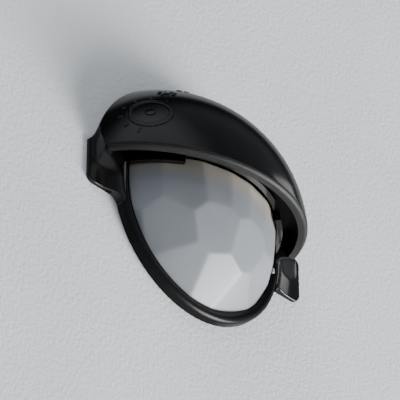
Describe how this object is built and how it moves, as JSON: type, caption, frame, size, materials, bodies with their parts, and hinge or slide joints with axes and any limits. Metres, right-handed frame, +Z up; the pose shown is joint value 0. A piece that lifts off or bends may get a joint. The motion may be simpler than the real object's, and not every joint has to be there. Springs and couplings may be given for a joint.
{
  "type": "motion sensor",
  "caption": "Hooded motion sensor head with a faceted milky dome lens, swept side ears, adjusters behind the pull-off cover and a clamped neck with lever terminals.",
  "frame": {"origin": "centre of the panel face, midway between the ears, on the axis of the neck", "axes": "+X to the right seen from the front, +Z up, the front of the sensor faces -Y"},
  "size_m": [0.0848, 0.0709, 0.0732],
  "materials": {
    "black_gloss": "glossy black moulded plastic",
    "lens_white": "satin milky white plastic",
    "seal": "soft matte rubber",
    "housing": "fine-grained dark grey plastic",
    "board": "green solder mask",
    "steel": "zinc-plated steel",
    "can": "nickel-plated can",
    "filter": "dark infrared filter",
    "black_matte": "matte black plastic",
    "led": "clear red resin",
    "photo_cell": "smoked resin",
    "trimmer_blue": "blue plastic",
    "orange": "orange plastic",
    "relay_case": "dark blue-grey plastic",
    "film_yellow": "yellow plastic case",
    "can_sleeve": "shrink sleeve",
    "varistor_blue": "dipped blue lacquer",
    "fuse_white": "ceramic tube",
    "brass": "bare brass"
  },
  "bodies": {
    "housing": {"wall_gasket": "seal", "rear_housing": "housing", "rear_cover": "housing", "rear_screws": "steel", "sensor_board": "board", "power_board": "board", "board_spacers": "brass", "board_header": "black_matte", "pyro_sensor": "can", "pyro_window": "filter", "pyro_collar": "black_matte", "indicator_led": "led", "light_sensor": "photo_cell", "time_trimmer": "trimmer_blue", "light_trimmer": "trimmer_blue", "control_chip": "black_matte", "relay": "relay_case", "film_capacitor": "film_yellow", "storage_capacitor": "can_sleeve", "varistor": "varistor_blue", "fuse": "fuse_white", "terminal_block": "housing", "wire_clamps": "brass"},
    "cover": {"front_cover": "black_gloss", "lens": "lens_white"},
    "time_knob": {"time_knob": "orange"},
    "light_knob": {"light_knob": "orange"},
    "lever_live": {"lever_live": "orange"},
    "lever_neutral": {"lever_neutral": "orange"},
    "lever_load": {"lever_load": "orange"},
    "washer": {"nut_washer": "steel"},
    "nut": {"clamp_nut": "housing"}
  },
  "joints": [
    {"name": "cover_pull", "type": "slide", "parent": "housing", "child": "cover", "axis": [0, -1, 0], "range_m": [0, 0.035]},
    {"name": "time_knob_turn", "type": "hinge", "parent": "housing", "child": "time_knob", "pos_m": [-0.01, 0.008, 0.014], "axis": [0, -1, 0], "range_deg": [-135, 135]},
    {"name": "light_knob_turn", "type": "hinge", "parent": "housing", "child": "light_knob", "pos_m": [0.01, 0.008, 0.014], "axis": [0, -1, 0], "range_deg": [-135, 135]},
    {"name": "lever_live_swing", "type": "hinge", "parent": "housing", "child": "lever_live", "pos_m": [-0.0075, 0.04, -0.0068], "axis": [-1, 0, 0], "range_deg": [0, 80]},
    {"name": "lever_neutral_swing", "type": "hinge", "parent": "housing", "child": "lever_neutral", "pos_m": [0, 0.04, -0.0068], "axis": [-1, 0, 0], "range_deg": [0, 80]},
    {"name": "lever_load_swing", "type": "hinge", "parent": "housing", "child": "lever_load", "pos_m": [0.0075, 0.04, -0.0068], "axis": [-1, 0, 0], "range_deg": [0, 80]},
    {"name": "nut_travel", "type": "slide", "parent": "housing", "child": "washer", "axis": [0, 1, 0], "range_m": [0, 0.018]},
    {"name": "nut_turn", "type": "hinge", "parent": "washer", "child": "nut", "pos_m": [0, 0.008, 0], "axis": [0, 1, 0], "range_deg": [0, 2160]}
  ],
  "couplings": [
    {"joint": "nut_turn", "follows": "nut_travel", "rad_per_m": 2094.4}
  ]
}
